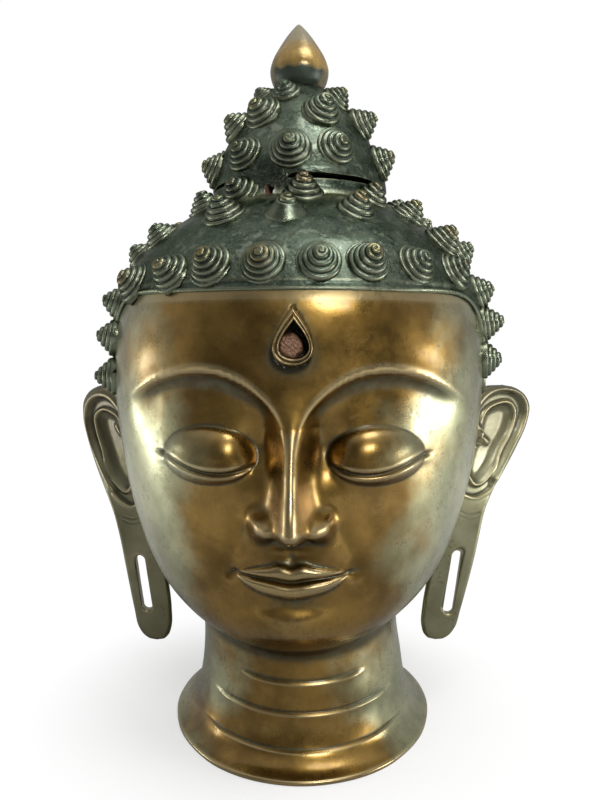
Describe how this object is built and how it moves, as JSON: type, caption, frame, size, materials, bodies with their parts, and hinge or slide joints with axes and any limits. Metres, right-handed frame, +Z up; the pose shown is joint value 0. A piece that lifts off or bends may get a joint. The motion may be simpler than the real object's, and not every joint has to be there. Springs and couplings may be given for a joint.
{
  "type": "copper buddha head",
  "caption": "Cast copper Buddha head on a flared neck, with long slotted ears, snail-shell curls and a separate top-knot cap with a jewel tip.",
  "frame": {"origin": "on the flat underside of the neck's rim, on the axis of head, collar and cap", "axes": "+Z up to the jewel, -Y the way the face looks, +X to the viewer's right"},
  "size_m": [0.2977, 0.2593, 0.42],
  "materials": {
    "copper_skin": "burnished brown patina on cast copper, with olive sheen at the sides",
    "dark_patina": "dark green-black patina on cast copper, rubbed bright on the tips of the curls"
  },
  "bodies": {
    "root": {"head_casting": "copper_skin", "topknot_cap": "dark_patina"}
  },
  "joints": []
}
